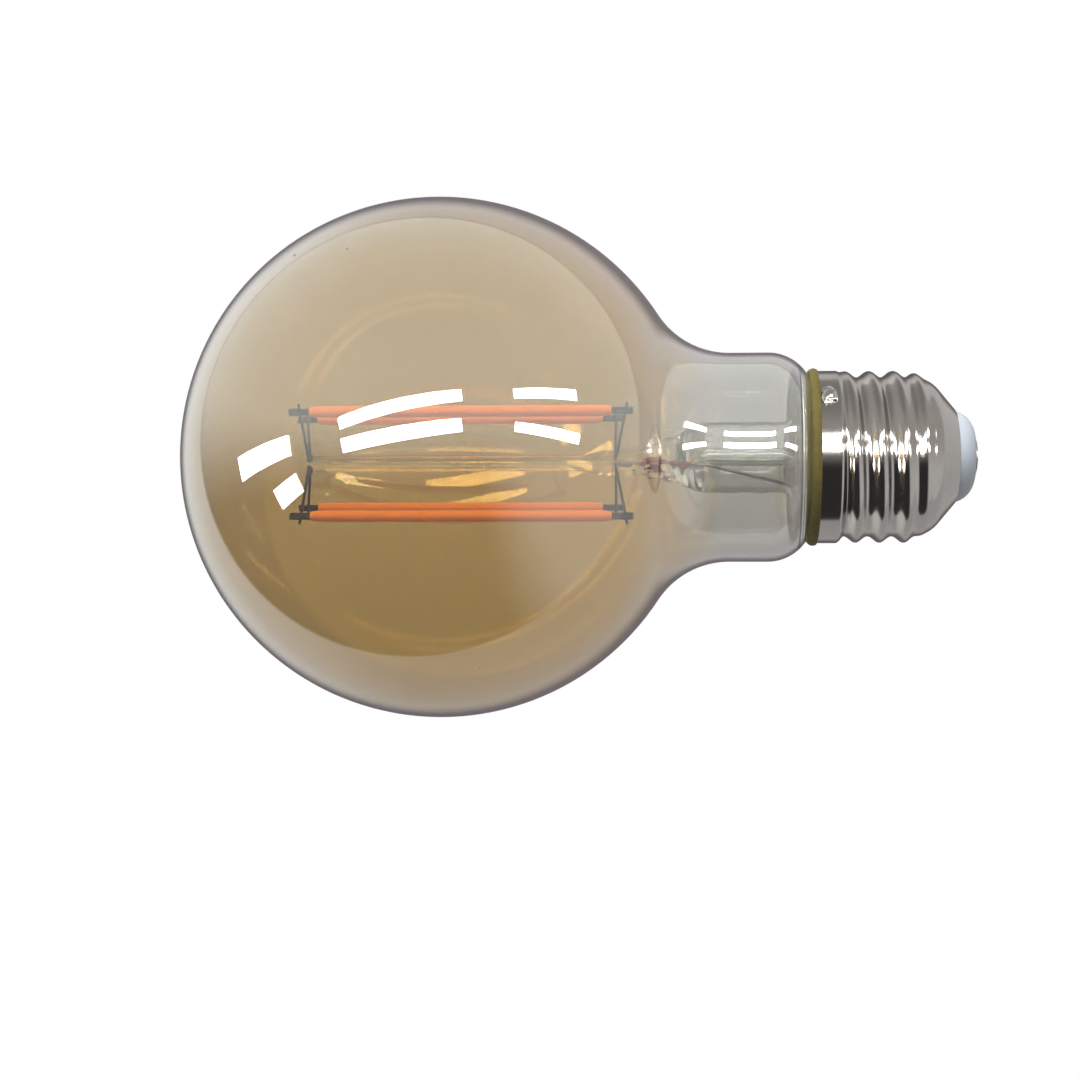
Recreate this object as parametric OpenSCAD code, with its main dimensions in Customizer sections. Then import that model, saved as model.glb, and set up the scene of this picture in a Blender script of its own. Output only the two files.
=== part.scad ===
// Globe filament light bulb with a screw cap, built as separate pieces.
// +Z runs along the bulb's axis from the cap to the globe's crown, and the
// origin is the centre of the contact face at the cap's end. Millimetres.

/* [Globe] */
// Outside diameter of the glass globe
globe_d = 80; // [76:1:125]
// How far the neck stands out past the cap's skirt
neck_over = 2.85; // [2.5:0.05:6]
// Length of the straight neck
neck_l = 5.8; // [2:0.1:40]
// Radius of the sweep from globe to neck
sweep_r = 13; // [9:0.5:16]
// Radius of the shoulder from neck to cap
shoulder_r = 7; // [5:0.5:9]
// Radius of the turn from shoulder to tail
turn_r = 2; // [1:0.1:3]
// Thickness of the glass wall
glass_t = 0.7; // [0.5:0.05:0.9]
// Radial room between the glass tail and the cap's wall
tail_room = 0.65; // [0.5:0.05:0.8]
// Length of the glass tail inside the cap
tail_l = 2; // [1:0.1:2.2]

/* [Screw cap] */
// Height of the cap, from contact face to rim
cap_h = 24; // [23:0.5:30]
// Outside diameter of the cap's plain skirt
cap_d = 26.3; // [26:0.1:34]
// Length of the plain skirt
skirt_l = 2.8; // [2.6:0.1:4]
// How far the thread's crests lie inside the skirt's face
crest_in = 0.08; // [0.04:0.02:0.2]
// Depth of the rolled thread
thread_depth = 0.95; // [0.7:0.05:1]
// Pitch of the rolled thread
thread_pitch = 3.629; // [3:0.001:4]
// Thickness of the cap's sheet metal
cap_wall = 0.3; // [0.2:0.05:0.4]
// Radius of the cap's rounded shoulder
cap_round = 5; // [3:0.5:7]
// Slope of the cap's conical end
cone_slope = 40; // [35:1:45]
// Diameter of the hole in the cap's end
cap_hole_d = 14.4; // [13:0.2:16]

/* [Insulator and contact] */
// Height from the contact face to the edge of the cap's hole
insulator_h = 3.2; // [2.5:0.1:4]
// Rounding of the insulator's outer edge
insulator_round = 3.6; // [2:0.2:4]
// How far the contact stands proud of the insulator
contact_proud = 0.3; // [0.1:0.05:0.6]
// Diameter of the contact's head
contact_d = 5.5; // [4:0.1:6]
// Diameter of the contact's pin
pin_d = 1.8; // [1:0.1:2.5]
// Length of the contact's pin
pin_l = 5.6; // [5:0.1:6.5]
// Gap between the insulator and the metal round it
insulator_gap = 0.05; // [0.02:0.01:0.2]

/* [Stem] */
// Outside diameter of the flare tube
flare_d = 10.8; // [10:0.2:14]
// Thickness of the flare tube's wall
flare_t = 0.8; // [0.6:0.1:1]
// Radius where the flare tube opens out
flare_r = 2; // [1:0.25:3]
// Height of the flare's seal above the cap's rim
seal_rise = 3.3; // [2.8:0.1:4]
// Outside diameter of the exhaust tube
exhaust_d = 2.8; // [2:0.1:3.2]
// Wall of the exhaust tube
exhaust_t = 0.5; // [0.3:0.05:0.7]
// Length of the pinched press
press_l = 13.5; // [10:0.5:20]
// Diameter of the thin glass above the press
stalk_d = 4.6; // [4:0.2:6]
// Diameter of the glass rod inside the filament cage
rod_d = 2.5; // [2:0.1:3.5]
// Diameter of the flared hub at the rod's foot
hub_d = 4; // [3.6:0.1:6]
// Diameter of the bead at the rod's crown end
bead_d = 3; // [2.8:0.1:5]
// Sideways set of the filament cage from the bulb's axis
cage_set = -0.8; // [-1.5:0.1:1.5]

/* [Filaments] */
// Length of the phosphor coat
coat_l = 45.8; // [34:0.2:50]
// Length of each terminal outside the coat
terminal_out = 3.2; // [3:0.1:5]
// Diameter of the phosphor coat
coat_d = 1.85; // [1.6:0.05:2.6]
// Distance between the two front filaments
front_gap = 15.8; // [12:0.2:20]
// Distance between the two back filaments
back_gap = 14.2; // [12:0.2:20]
// Distance from front to back filaments
cage_depth = 14.9; // [12:0.1:20]
// Distance from the globe's centre down to the cage's middle
cage_drop = 2.7; // [0:0.1:6]
// How far the back pair sits above the front pair
cage_lean = 1.8; // [0:0.1:2]
// Width of a terminal
terminal_w = 1.2; // [0.8:0.05:1.6]
// Thickness of a terminal
terminal_t = 0.25; // [0.15:0.05:0.4]
// Length of a terminal inside the coat
terminal_in = 1.5; // [1:0.1:3]
// Width of the strip that carries the chips
strip_w = 0.8; // [0.5:0.05:1]
// Thickness of the strip
strip_t = 0.35; // [0.2:0.05:0.5]
// Number of chips on each strip
chips = 28; // [8:1:34]
// Thickness of a chip
chip_t = 0.15; // [0.1:0.01:0.2]

/* [Wires] */
// Diameter of the support wires
support_d = 0.45; // [0.3:0.05:0.6]
// Diameter of the leads through the stem
lead_d = 0.5; // [0.3:0.05:0.6]
// Distance between the leads at the hub
lead_gap = 1.5; // [1.2:0.1:2]
// Distance between the leads at the flare tube
lead_spread = 4; // [3.6:0.1:4.4]
// Diameter of the driver's own wires
wire_d = 0.4; // [0.3:0.05:0.5]
// How far a support wire runs past its terminal
tip_l = 0.6; // [0.2:0.1:1]
// Distance of the crown weld from the filament's end
crown_weld = 1.6; // [1:0.1:2.4]
// Distance of the base weld from the filament's end
base_weld = 1.1; // [1:0.1:2.4]

/* [Driver] */
// Thickness of the driver board
board_t = 1; // [0.8:0.1:1.6]
// How far the board's underside sits below the top of the cap's rounded end
board_drop = 0.86; // [0.5:0.02:1.2]
// Thickness of the insulating sleeve
sleeve_t = 0.3; // [0.2:0.05:0.4]
// Diameter of the smoothing capacitor
capacitor_d = 6.3; // [5:0.1:6.6]
// Height of the smoothing capacitor
capacitor_h = 8.5; // [6:0.5:9.5]
// Diameter of the choke
choke_d = 5.2; // [4:0.1:5.4]
// Height of the choke
choke_h = 6; // [4:0.5:8]
// Height of the upright radio board
radio_h = 8; // [6:0.5:9]
// Turn of the side joint round the cap from +X
side_joint_turn = -46; // [-180:1:180]

/* [Hidden] */
$fn = 72;
globe_r = globe_d / 2;
cap_r = cap_d / 2;
neck_r = cap_r + neck_over;
crest_r = cap_r - crest_in;
root_r = crest_r - thread_depth;
hole_r = cap_hole_d / 2;
tail_r = cap_r - cap_wall - tail_room;

// Heights of the envelope, each from the one below it
shoulder_x = neck_r - shoulder_r;
turn_x = tail_r + turn_r;
shoulder_z = cap_h + sqrt(pow(shoulder_r + turn_r, 2) - pow(turn_x - shoulder_x, 2));
sweep_x = neck_r + sweep_r;
sweep_z = shoulder_z + neck_l;
globe_z = sweep_z + sqrt(pow(globe_r + sweep_r, 2) - pow(sweep_x, 2));
tail_z = cap_h - tail_l;

// The cap's conical end is tangent to its rounded shoulder
round_x = root_r - cap_round;
round_z = insulator_h + (round_x + cap_round * sin(cone_slope) - hole_r) * tan(cone_slope)
    + cap_round * cos(cone_slope);
skirt_z = cap_h - skirt_l;
board_z = round_z - board_drop;

// The thread is a grid of rings and sides, with its ends inside exact rings
thread_sides = 48;
thread_rings = 34;
thread_lap = 0.25;
thread_inset = 0.06;
thread_low_z = round_z - 2.3;
thread_fade_low = 3;
thread_fade_high = 1.4;
first_root_z = skirt_z - 3.2;

seal_z = cap_h + seal_rise;
tube_r = flare_d / 2;
cage_z = globe_z - cage_drop;
filament_l = coat_l + 2 * terminal_out;
weld_low_z = cage_z - filament_l / 2 + base_weld;
hub_z = weld_low_z + 1.3;
hub_t = 1.3;
bead_z = cage_z + filament_l / 2 - crown_weld - 0.9;
bead_r = bead_d / 2;
press_top_z = hub_z - 4.4;
tube_top_z = press_top_z - press_l + 4;
dumet_z = tube_top_z + 0.8;

// Filaments 1 and 2 are on the +X side, and 1 and 3 face -Y
FILAMENTS = [1, 2, 3, 4];
function side_x(i) = i <= 2 ? 1 : -1;
function side_y(i) = i % 2 == 1 ? -1 : 1;
function filament_at(i) = [
    side_x(i) * (i % 2 == 1 ? front_gap : back_gap) / 2,
    side_y(i) * cage_depth / 2,
    cage_z + side_y(i) * cage_lean / 2
];

// A support wire starts beside a lead, and passes its terminal face to face
function wire_root(i) = [side_x(i) * 0.1, side_y(i) * lead_gap / 2, 0];
function flat(v) = [v[0], v[1], 0];
function unit(v) = v / norm(v);
function wire_way(i) = unit(flat(filament_at(i)) - wire_root(i));
function wire_side(i) = side_x(i) * side_y(i) * [wire_way(i)[1], -wire_way(i)[0], 0];
function wire_turn(i) = atan2(wire_way(i)[1], wire_way(i)[0]);
wire_shift = (terminal_t + support_d) / 2;
bend_swell = 0.04;

// The leads' places at the hub, the press's top, the tube's top and the cap
function lead_at(s, gap, z) = [cage_set, s * gap / 2, z];
press_gap = lead_gap + 0.8;
lead_feet = [[-5.6, -1.2], [-1.5, 2.4]];
lead_pads = [[-6.5, -1], [-1.6, 2.6]];
function lead_foot(s) = concat(lead_feet[s < 0 ? 0 : 1], tail_z - 1);
function lead_top(s) = lead_at(s, lead_spread, dumet_z);

// A lead runs straight from its top to its foot, but stays inside the tube's bore
lead_reach = tube_r - flare_t - lead_d;
function lead_throat(s) =
    let (z = seal_z + flare_r,
         p = lead_top(s) + (lead_foot(s) - lead_top(s)) * (dumet_z - z) / (dumet_z - tail_z + 1),
         way = min(1, lead_reach / norm(flat(p))))
    [p[0] * way, p[1] * way, z];
function lead_end(s) = concat(lead_pads[s < 0 ? 0 : 1], board_top_z);

// The driver stands on the insulator's rim, inside the sleeve
board_top_z = board_z + board_t;
sleeve_r = root_r - cap_wall - 0.3;
sleeve_top_z = skirt_z - 0.4;
board_r = sleeve_r - sleeve_t - 0.2;
insulator_floor_z = insulator_h + 1.4;
cement_in_r = sleeve_r - sleeve_t;
cement_x = cap_r - cap_wall;
joint_z = skirt_z + skirt_l * 0.57;
joint_r = 1.3;
joint_proud = 0.5;
joint_pin_r = 0.4;
wire_lane_r = cement_x - tail_room / 2;
capacitor_at = [5.3, 4.4];
choke_at = [-5.4, 5.2];
bridge_at = [-3.6, -6];
bridge_size = [4.6, 3.8, 1.8];
chip_at = [3.7, -2.4];
chip_size = [5, 3.9, 1.5];
radio_at = [3.4, -7.4];
radio_w = 6;
radio_t = 0.8;
shield_size = [4.8, 1.4, radio_h * 0.6];
shield_rise = 0.6;
resistor_d = 2.4;
resistor_l = 6;
resistor_y = -3.5;
live_pad = [1.4, 1.2];

// ---- Shared shapes ----

// Round wire between two points
module rod(from, to, d) {
    v = to - from;
    translate(from)
        rotate([0, acos(v[2] / norm(v)), atan2(v[1], v[0])])
            cylinder(h = norm(v), d = d);
}

// Round wire through a list of points, with a slightly larger ball at each bend
module wire(points, d) {
    for (i = [1 : len(points) - 1]) rod(points[i - 1], points[i], d);
    for (i = [1 : len(points) - 2]) translate(points[i]) sphere(d = d + bend_swell);
}

// Half section of the envelope, set in by t from its outer face
module envelope_outline(t) {
    intersection() {
        translate([0, globe_z]) circle(globe_r - t);
        translate([0, globe_z - globe_r]) square([globe_r, globe_d]);
    }
    difference() {
        polygon([[0, globe_z], [sweep_x, sweep_z], [0, sweep_z]]);
        translate([sweep_x, sweep_z]) circle(sweep_r + t);
    }
    translate([0, shoulder_z]) square([neck_r - t, neck_l]);
    translate([shoulder_x, shoulder_z]) circle(shoulder_r - t);
    difference() {
        polygon([[0, shoulder_z], [shoulder_x, shoulder_z], [turn_x, cap_h], [0, cap_h]]);
        translate([turn_x, cap_h]) circle(turn_r + t);
    }
    translate([0, tail_z - t]) square([tail_r - t, tail_l + t]);
}

module envelope_section() {
    difference() {
        envelope_outline(0);
        envelope_outline(glass_t);
    }
}

// Half section of the cap's closed end, set in by t, up to height top
module cap_end_outline(t, top) {
    out = [sin(cone_slope), -cos(cone_slope)];
    tangent = [round_x, round_z] + (cap_round - t) * out;
    edge = [hole_r, insulator_h] - t * out;
    intersection() {
        union() {
            polygon([[0, edge[1]], edge, tangent, [round_x, round_z], [0, round_z]]);
            translate([round_x, round_z]) circle(cap_round - t);
            translate([0, round_z]) square([root_r - t, top - insulator_h]);
        }
        square([cap_r, top]);
    }
}

// ---- Glass ----

module glass_envelope() {
    color([0.72, 0.62, 0.42, 0.35]) rotate_extrude() envelope_section();
}

// Tube that opens out into a disc, sealed to the inside of the neck
module flare_tube() {
    bore = tube_r - flare_t;
    color([0.8, 0.85, 0.85, 0.4]) rotate_extrude() intersection() {
        envelope_outline(glass_t);
        difference() {
            translate([bore, seal_z - flare_t]) square([neck_r, tube_top_z - seal_z + flare_t]);
            translate([tube_r + flare_r, seal_z + flare_r]) circle(flare_r);
            translate([tube_r + flare_r, seal_z]) square([neck_r, tube_top_z]);
            translate([tube_r, seal_z + flare_r]) square([neck_r, tube_top_z]);
            difference() {
                square([tube_r + flare_r, seal_z + flare_r]);
                translate([tube_r + flare_r, seal_z + flare_r]) circle(flare_r + flare_t);
                translate([tube_r + flare_r, 0]) square([1, seal_z + flare_r]);
            }
        }
    }
}

// Exhaust tube with its tip sealed off inside the cap
module exhaust_tube() {
    tip_z = tail_z - 1.5;
    color([0.8, 0.85, 0.85, 0.4]) rotate_extrude() {
        difference() {
            union() {
                translate([0, tip_z]) square([exhaust_d / 2, tube_top_z + 1.5 - tip_z]);
                intersection() {
                    translate([0, tip_z]) circle(exhaust_d / 2);
                    translate([0, tip_z - exhaust_d]) square([exhaust_d, exhaust_d]);
                }
            }
            translate([0, tip_z]) square([exhaust_d / 2 - exhaust_t, tube_top_z]);
        }
    }
}

// Pinched glass from the tube's shoulder up to the stalk, round the leads
module stem_press() {
    waist_z = tube_top_z + press_l * 0.45;
    waist_r = lead_spread / 2 + 0.6;
    waist_span = 2.2;
    slice = 0.4;
    color([0.8, 0.85, 0.85, 0.4]) difference() {
        union() {
            hull() {
                translate([0, 0, tube_top_z]) cylinder(h = 1.5 * slice, r = tube_r, $fn = 32);
                translate([0, 0, tube_top_z + 4 * slice])
                    cylinder(h = slice, r = tube_r - flare_t, $fn = 32);
                for (s = [-1, 1]) translate([cage_set / 2 + s * waist_span, 0, waist_z])
                    cylinder(h = slice, r = waist_r, $fn = 32);
            }
            hull() {
                for (s = [-1, 1]) translate([cage_set / 2 + s * waist_span, 0, waist_z])
                    cylinder(h = slice, r = waist_r, $fn = 32);
                translate([cage_set, 0, press_top_z]) cylinder(h = slice, d = stalk_d, $fn = 32);
            }
            translate([cage_set, 0, press_top_z]) cylinder(h = hub_z - press_top_z, d = stalk_d);
        }
        translate([0, 0, tube_top_z - 1]) cylinder(h = 2.5, d = exhaust_d);
        for (s = [-1, 1]) lead_hole(s);
        base_wires();
    }
}

// Solid glass rod with a flared hub at its foot and a bead at its crown end
module centre_rod() {
    spread = (hub_d - rod_d) / 2;
    color([0.8, 0.85, 0.85, 0.4]) difference() {
        translate([cage_set, 0, 0]) rotate_extrude() {
            translate([0, hub_z]) square([hub_d / 2, hub_t]);
            translate([0, hub_z + hub_t]) difference() {
                square([hub_d / 2, spread]);
                translate([hub_d / 2, spread]) circle(spread);
            }
            translate([0, hub_z]) square([rod_d / 2, bead_z - hub_z]);
            intersection() {
                translate([0, bead_z]) circle(bead_r);
                translate([0, bead_z - bead_r]) square([bead_r, bead_d]);
            }
        }
        crown_wires();
    }
}

// ---- Leads and support wires ----

// The lead's top is let round the two support wires that are welded to it
module inner_lead(s) {
    color([0.45, 0.45, 0.45]) difference() {
        rod(lead_at(s, lead_gap, hub_z - 0.3), lead_at(s, press_gap, press_top_z), lead_d);
        base_wires();
    }
}

module dumet(s) {
    color([0.55, 0.2, 0.12])
        rod(lead_at(s, press_gap, press_top_z), lead_top(s), lead_d);
}

module outer_lead(s) {
    color([0.5, 0.5, 0.5])
        wire([lead_top(s), lead_throat(s), lead_foot(s), lead_end(s)], lead_d);
}

// One bore through the press for a lead's three lengths
module lead_hole(s) {
    wire([lead_at(s, lead_gap, hub_z - 0.3), lead_at(s, press_gap, press_top_z),
          lead_top(s), lead_throat(s)], lead_d);
}

// Wire from the axis to a filament's terminal, z high at the root
module support_wire(i, root_z, weld_z) {
    f = filament_at(i);
    shift = wire_side(i) * wire_shift + [cage_set, 0, 0];
    reach = norm(flat(f) - wire_root(i)) + terminal_w / 2 + tip_l;
    rise = (weld_z - root_z) / norm(flat(f) - wire_root(i));
    color([0.3, 0.3, 0.3])
        rod(wire_root(i) + shift + [0, 0, root_z],
            wire_root(i) + shift + wire_way(i) * reach + [0, 0, root_z + rise * reach],
            support_d);
}

module base_support_wire(i) {
    support_wire(i, hub_z - 0.3 - support_d / 2, filament_at(i)[2] - filament_l / 2 + base_weld);
}

module crown_support_wire(i) {
    support_wire(i, bead_z, filament_at(i)[2] + filament_l / 2 - crown_weld);
}

module base_wires() {
    for (i = FILAMENTS) base_support_wire(i);
}

module crown_wires() {
    for (i = FILAMENTS) crown_support_wire(i);
}

// ---- Filaments ----

// Puts a shape at a filament's middle, turned with its terminals' faces
module at_filament(i) {
    translate(filament_at(i) + [cage_set, 0, 0]) rotate(wire_turn(i)) children();
}

// Half section of the coat: a straight barrel with a pointed arc at each end
module coat_section() {
    r = coat_d / 2;
    arc_r = 4;
    end_r = terminal_w / 2 + 0.1;
    taper = sqrt(pow(arc_r, 2) - pow(arc_r - r + end_r, 2));
    straight = coat_l / 2 - taper;
    translate([0, -straight]) square([r, 2 * straight]);
    for (s = [0, 1]) mirror([0, s]) intersection() {
        translate([r - arc_r, straight]) circle(arc_r);
        translate([0, straight]) square([r, taper]);
    }
}

module filament_coat(i) {
    color([0.95, 0.5, 0.2]) at_filament(i) difference() {
        rotate_extrude() coat_section();
        cube([strip_w, strip_t, strip_length() + 0.001], center = true);
        translate([-chip_w() / 2, strip_t / 2, -strip_length() / 2])
            cube([chip_w(), chip_t, strip_length()]);
        for (s = [-1, 1])
            translate([0, 0, s * (coat_l - terminal_in) / 2])
                cube([terminal_w, terminal_t, terminal_in], center = true);
    }
}

function strip_length() = coat_l - 2 * terminal_in;
function chip_w() = strip_w * 0.6;
function chip_pitch() = strip_length() / (chips + 1);

module filament_strip(i) {
    color([0.85, 0.85, 0.8]) at_filament(i)
        cube([strip_w, strip_t, strip_length()], center = true);
}

module filament_terminals(i) {
    terminal_l = (filament_l - strip_length()) / 2;
    color([0.3, 0.3, 0.3]) at_filament(i)
        for (s = [-1, 1])
            translate([0, 0, s * (filament_l - terminal_l) / 2])
                cube([terminal_w, terminal_t, terminal_l], center = true);
}

// All the chips, one row on each strip
module led_chips() {
    color([0.4, 0.5, 0.8]) for (i = FILAMENTS) at_filament(i)
        for (n = [1 : chips])
            translate([-chip_w() / 2, strip_t / 2, -strip_length() / 2 + (n - 0.35) * chip_pitch()])
                cube([chip_w(), chip_t, chip_pitch() * 0.7]);
}

// ---- Cap ----

// Cement round both faces of the glass tail, with a bead over the cap's rim
module basing_cement() {
    bead_x = cap_r - 0.55;
    bead_up = 0.5;
    bead_round = 0.95;
    color([0.36, 0.33, 0.18]) difference() {
        rotate_extrude() difference() {
            union() {
                translate([cement_in_r, skirt_z]) square([cement_x - cement_in_r, skirt_l]);
                intersection() {
                    translate([cement_in_r, cap_h]) square([neck_r, seal_z - flare_t - cap_h]);
                    envelope_outline(glass_t);
                }
                intersection() {
                    translate([bead_x, cap_h + bead_up]) circle(bead_round);
                    translate([tail_r, cap_h]) square([neck_r, 2 * bead_round]);
                }
            }
            envelope_section();
        }
        side_pin();
        neutral_wire();
    }
}

// Radius of the rolled sheet at height z and angle a, before its wall
function fade(t) = let (u = min(max(t, 0), 1)) u * u * (3 - 2 * u);
function base_radius(z) =
    z < round_z ? round_x + sqrt(pow(cap_round, 2) - pow(round_z - z, 2)) : root_r;
function thread_radius(z, a) =
    let (low = fade((z - thread_low_z) / thread_fade_low),
         high = fade((z - skirt_z + thread_fade_high) / thread_fade_high),
         wave = (1 - cos(360 * (z - first_root_z) / thread_pitch - a)) / 2,
         root = base_radius(z) + (cap_r - root_r) * high,
         crest = base_radius(z) + (crest_r - root_r) * low + (cap_r - crest_r) * high)
    root + (crest - root) * wave;

// The wall is thickest where the shoulder leans in
function wall_at(z) =
    z < round_z ? cap_wall * cap_round / sqrt(pow(cap_round, 2) - pow(round_z - z, 2)) : cap_wall;

// Heights of the thread's rings: one inside each exact ring, the rest even
function ring_z(k) =
    k == 0 ? thread_low_z - thread_lap
    : k == thread_rings - 1 ? skirt_z + thread_lap
    : thread_low_z + 0.05 + (skirt_z - thread_low_z - 0.1) * (k - 1) / (thread_rings - 3);
function ring_inset(k) = k == 0 || k == thread_rings - 1 ? thread_inset : 0;

// Points of the outer face and then of the inner one, ring by ring
function thread_points() = [
    for (face = [0, 1]) for (k = [0 : thread_rings - 1]) for (j = [0 : thread_sides - 1])
        let (z = ring_z(k), a = 360 * j / thread_sides, turn = face == 0 ? -1 : 1,
             r = thread_radius(z, a) - face * wall_at(z) + turn * ring_inset(k))
        [r * cos(a), r * sin(a), z]
];
function thread_point(face, k, j) = (face * thread_rings + k) * thread_sides + j % thread_sides;
function quad(a, b, c, d) = [[a, b, c], [a, c, d]];
function thread_faces() = [
    for (j = [0 : thread_sides - 1]) each concat(
        [for (k = [0 : thread_rings - 2]) each concat(
            quad(thread_point(0, k, j), thread_point(0, k + 1, j),
                 thread_point(0, k + 1, j + 1), thread_point(0, k, j + 1)),
            quad(thread_point(1, k, j + 1), thread_point(1, k + 1, j + 1),
                 thread_point(1, k + 1, j), thread_point(1, k, j)))],
        quad(thread_point(0, 0, j), thread_point(0, 0, j + 1),
             thread_point(1, 0, j + 1), thread_point(1, 0, j)),
        quad(thread_point(1, thread_rings - 1, j), thread_point(1, thread_rings - 1, j + 1),
             thread_point(0, thread_rings - 1, j + 1), thread_point(0, thread_rings - 1, j)))
];

// Sheet metal shell: plain skirt, rolled thread and closed conical end
module cap_shell() {
    color([0.75, 0.74, 0.72]) difference() {
        union() {
            rotate_extrude() translate([cap_r - cap_wall, skirt_z]) square([cap_wall, skirt_l]);
            rotate_extrude() difference() {
                cap_end_outline(0, thread_low_z);
                cap_end_outline(cap_wall, thread_low_z + 1);
                square([hole_r, cap_h]);
            }
            polyhedron(thread_points(), thread_faces(), convexity = 8);
        }
        side_pin();
    }
}

// White plastic end: a dome outside the cap's hole and a cup inside the cone
module cap_insulator() {
    nose_r = hole_r - 0.2;
    wall = 1.2;
    face_z = contact_proud;
    cup_r = round_x + cap_round - cap_wall - wall;
    color([0.85, 0.88, 0.92]) rotate_extrude() difference() {
        union() {
            intersection() {
                union() {
                    translate([0, face_z]) square([nose_r - insulator_round, board_z - face_z]);
                    translate([nose_r - insulator_round, face_z + insulator_round])
                        circle(insulator_round);
                    translate([0, face_z + insulator_round]) square([nose_r, board_z]);
                }
                square([cap_r, board_z]);
            }
            cap_end_outline(cap_wall + insulator_gap, board_z);
        }
        polygon([[0, insulator_floor_z], [hole_r - 1, insulator_floor_z],
                 [cup_r - 1, board_z - 1.5], [cup_r - 1, board_z + 1], [0, board_z + 1]]);
        square([pin_d / 2, board_z]);
        square([contact_d / 2, contact_proud + 0.4]);
    }
}

// Flat head let into the dome, with a pin through it
module centre_contact() {
    color([0.8, 0.75, 0.55]) rotate_extrude() {
        square([contact_d / 2, contact_proud + 0.4]);
        square([pin_d / 2, pin_l]);
    }
}

// Pin through the skirt, under a low round nugget of weld
module side_pin() {
    rotate(side_joint_turn) translate([wire_lane_r, 0, joint_z]) rotate([0, 90, 0])
        cylinder(h = cap_r - wire_lane_r + joint_proud / 2, r = joint_pin_r);
}

module side_joint() {
    ball_r = (pow(joint_r, 2) + pow(joint_proud, 2)) / (2 * joint_proud);
    color([0.78, 0.77, 0.75]) {
        side_pin();
        difference() {
            rotate(side_joint_turn) translate([cap_r, 0, joint_z]) rotate([0, 90, 0])
                rotate_extrude() intersection() {
                    translate([0, joint_proud - ball_r]) circle(ball_r);
                    translate([0, -joint_proud / 2]) square([ball_r, 2 * joint_proud]);
                }
            cylinder(h = cap_h + cap_r, r = cap_r, $fn = 360);
        }
    }
}

// ---- Driver ----

module insulating_sleeve() {
    color([0.9, 0.88, 0.8]) translate([0, 0, board_z]) difference() {
        cylinder(h = sleeve_top_z - board_z, r = sleeve_r);
        translate([0, 0, -1]) cylinder(h = cap_h, r = sleeve_r - sleeve_t);
    }
}

module driver_board() {
    color([0.1, 0.35, 0.2]) translate([0, 0, board_z]) cylinder(h = board_t, r = board_r);
}

// Puts a shape on the board's upper face
module on_board(at) {
    translate([at[0], at[1], board_top_z]) children();
}

// Moulded package, centred where it stands on the board
module package(at, size) {
    color([0.12, 0.12, 0.12]) on_board(at) translate([-size[0] / 2, -size[1] / 2, 0]) cube(size);
}

module bridge_rectifier() {
    package(bridge_at, bridge_size);
}

module smoothing_capacitor() {
    color([0.15, 0.15, 0.2]) on_board(capacitor_at) cylinder(h = capacitor_h, d = capacitor_d);
}

// Drum core with its winding between two flanges
module choke() {
    flange = 0.9;
    color([0.25, 0.22, 0.2]) on_board(choke_at) difference() {
        cylinder(h = choke_h, d = choke_d);
        translate([0, 0, flange]) difference() {
            cylinder(h = choke_h - 2 * flange, d = choke_d + 1);
            translate([0, 0, -flange]) cylinder(h = choke_h, d = choke_d - 0.8);
        }
    }
}

module driver_chip() {
    package(chip_at, chip_size);
}

module radio_board() {
    color([0.1, 0.25, 0.4]) on_board(radio_at) translate([-radio_w / 2, -radio_t, 0])
        cube([radio_w, radio_t, radio_h]);
}

module radio_shield() {
    color([0.7, 0.7, 0.7]) on_board(radio_at) translate([-shield_size[0] / 2, 0, shield_rise])
        cube(shield_size);
}

// Folded strip along the top of the radio board
module radio_antenna() {
    folds = 4;
    fold = 1.2;
    strip = 0.4;
    foil = 0.1;
    rise = radio_h * 0.4 - 1;
    color([0.8, 0.6, 0.2]) on_board(radio_at) for (n = [0 : folds - 1])
        translate([(n - folds / 2) * fold - strip / 2 - foil, 0, shield_rise + shield_size[2] + 0.2]) {
            cube([strip, foil, rise]);
            translate([0, 0, n % 2 == 0 ? rise - strip : 0]) cube([fold, foil, strip]);
        }
}

module fusible_resistor() {
    color([0.6, 0.75, 0.7]) translate([-resistor_l / 2, resistor_y, board_z - resistor_d / 2 - 0.2])
        rotate([0, 90, 0]) cylinder(h = resistor_l, d = resistor_d);
}

// From the contact's pin to the underside of the board
module live_wire() {
    color([0.8, 0.2, 0.15]) rod([0, 0, pin_l], concat(live_pad, board_z), wire_d);
}

// From the board up past the cement to the pin of the side joint
module neutral_wire() {
    way = [cos(side_joint_turn), sin(side_joint_turn)];
    inner_r = cement_in_r - 0.4;
    color([0.2, 0.3, 0.7]) wire([
        [way[0] * wire_lane_r, way[1] * wire_lane_r, joint_z - joint_pin_r],
        [way[0] * (wire_lane_r - 0.15), way[1] * (wire_lane_r - 0.15), tail_z - 0.35],
        [way[0] * inner_r, way[1] * inner_r, skirt_z - 0.5],
        [way[0] * (board_r - 0.6), way[1] * (board_r - 0.6), board_top_z]
    ], wire_d);
}

// ---- Nodes ----

glass_envelope();
flare_tube();
exhaust_tube();
stem_press();
centre_rod();
inner_lead(-1);  // inner_lead_a
inner_lead(1);  // inner_lead_b
dumet(-1);  // dumet_a
dumet(1);  // dumet_b
outer_lead(-1);  // outer_lead_a
outer_lead(1);  // outer_lead_b
for (i = FILAMENTS) {
    filament_coat(i);
    filament_strip(i);
    filament_terminals(i);
    base_support_wire(i);
    crown_support_wire(i);
}
led_chips();
basing_cement();
cap_shell();
cap_insulator();
centre_contact();
side_joint();
insulating_sleeve();
driver_board();
bridge_rectifier();
smoothing_capacitor();
choke();
driver_chip();
radio_board();
radio_shield();
radio_antenna();
fusible_resistor();
live_wire();
neutral_wire();
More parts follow.
